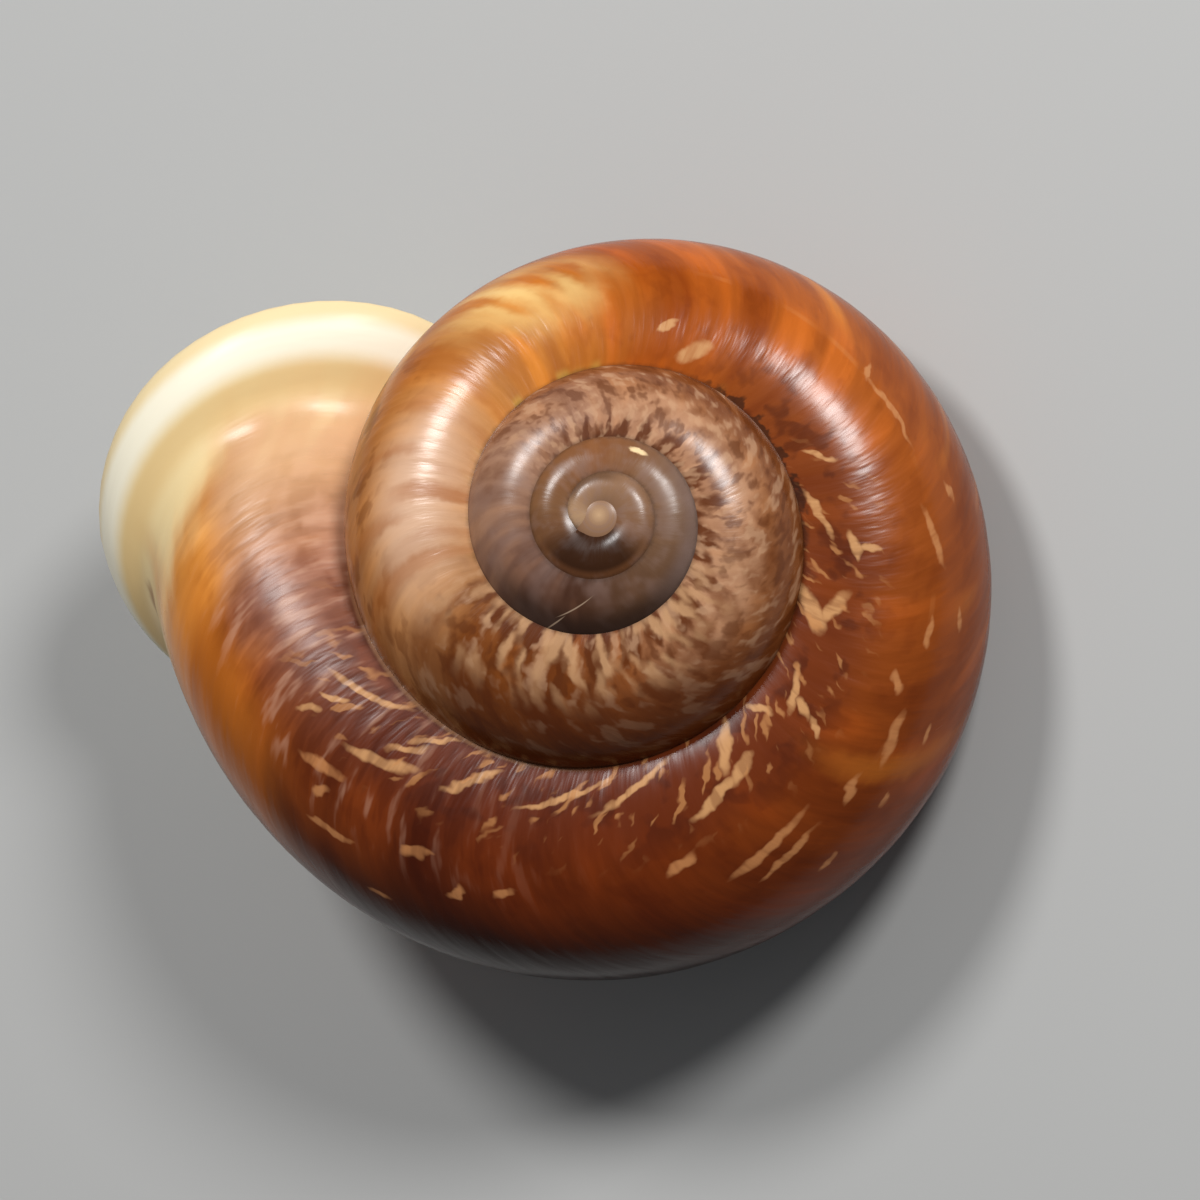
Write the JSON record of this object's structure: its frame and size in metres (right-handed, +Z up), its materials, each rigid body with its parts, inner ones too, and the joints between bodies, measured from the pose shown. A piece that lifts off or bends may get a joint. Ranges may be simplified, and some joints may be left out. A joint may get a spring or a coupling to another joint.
{
  "type": "land snail shell",
  "caption": "Coiled shell of a large tropical land snail: a rounded tube that widens as it winds, with an open umbilicus below and a thick flared lip round a slanting mouth.",
  "frame": {"origin": "middle of the shell's footprint, on the surface that it rests on", "axes": "+Z up, with the apex of the coil leaning towards +X; the mouth is on the -X side and opens down and towards +Y; X is the longest side"},
  "size_m": [0.0352, 0.0282, 0.0143],
  "materials": {
    "shell": "lime shell under a thin glossy horny skin, orange-brown to mauve with pale flecks along the growth lines, cream lip"
  },
  "bodies": {
    "root": {"shell": "shell"}
  },
  "joints": []
}
